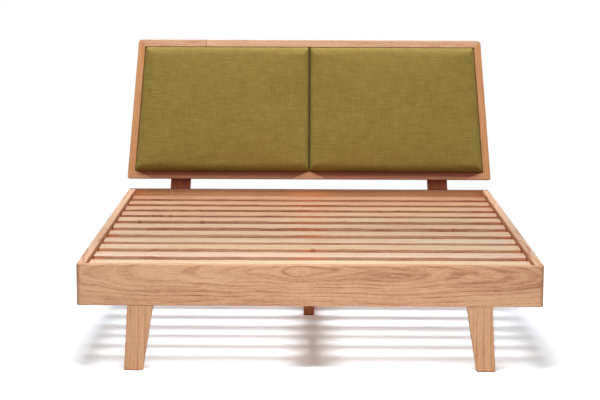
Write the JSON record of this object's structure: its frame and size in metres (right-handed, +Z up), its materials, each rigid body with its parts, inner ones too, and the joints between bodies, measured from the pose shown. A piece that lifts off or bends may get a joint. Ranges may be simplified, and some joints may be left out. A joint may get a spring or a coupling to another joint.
{
  "type": "platform bed",
  "caption": "Wooden platform bed with fixed slats, a centre beam and leg, splayed tapered legs, and a raked headboard whose frame holds upholstered pads.",
  "frame": {"origin": "on the floor, in the middle of the overall box", "axes": "+X to the right seen from the foot end, +Y towards the headboard, +Z up"},
  "size_m": [1.6148, 2.2662, 1.0276],
  "materials": {
    "rail_wood": "satin lacquer over warm brown oak grain",
    "support_wood": "plain planed wood",
    "leg_wood": "satin lacquer over warm brown oak grain",
    "slat_wood": "planed pale wood",
    "headboard_wood": "satin lacquer over warm brown oak grain",
    "dowel_wood": "plain turned wood",
    "plywood": "sanded face veneer",
    "zinc_steel": "bright zinc plate",
    "yellow_steel": "yellow passivated zinc plate",
    "black_steel": "black oxide",
    "brass": "turned brass",
    "felt": "pressed felt",
    "upholstery": "woven olive cloth with a soft sheen"
  },
  "bodies": {
    "root": {"foot_rail": "rail_wood", "head_rail": "rail_wood", "side_rail_left": "rail_wood", "side_rail_right": "rail_wood", "slat_ledge_left": "support_wood", "slat_ledge_right": "support_wood", "centre_beam": "support_wood", "beam_cradle_foot": "support_wood", "beam_cradle_head": "support_wood", "centre_leg": "leg_wood", "front_leg_left": "leg_wood", "front_leg_right": "leg_wood", "rear_post_left": "leg_wood", "rear_post_right": "leg_wood", "slat_1": "slat_wood", "slat_2": "slat_wood", "slat_3": "slat_wood", "slat_4": "slat_wood", "slat_5": "slat_wood", "slat_6": "slat_wood", "slat_7": "slat_wood", "slat_8": "slat_wood", "slat_9": "slat_wood", "slat_10": "slat_wood", "slat_11": "slat_wood", "headboard_top": "headboard_wood", "headboard_bottom": "headboard_wood", "headboard_side_left": "headboard_wood", "headboard_side_right": "headboard_wood", "mitre_dowels": "dowel_wood", "back_panel": "plywood", "pad_board_left": "plywood", "pad_board_right": "plywood", "corner_bracket_foot_left": "zinc_steel", "corner_bracket_foot_right": "zinc_steel", "corner_bracket_head_left": "zinc_steel", "corner_bracket_head_right": "zinc_steel", "centre_leg_plate": "zinc_steel", "centre_leg_stud": "zinc_steel", "bolt_washers": "zinc_steel", "headboard_tee_nuts": "zinc_steel", "slat_screws": "yellow_steel", "ledge_screws": "yellow_steel", "cradle_screws": "yellow_steel", "centre_leg_screws": "yellow_steel", "panel_screws": "yellow_steel", "pad_screws": "yellow_steel", "corner_bolts": "black_steel", "leg_bolts": "black_steel", "post_bolts": "black_steel", "headboard_bolts": "black_steel", "corner_inserts": "brass", "leg_inserts": "brass", "post_inserts": "brass", "headboard_inserts": "brass", "foot_glides": "felt", "pad_left": "upholstery", "pad_right": "upholstery"}
  },
  "joints": []
}
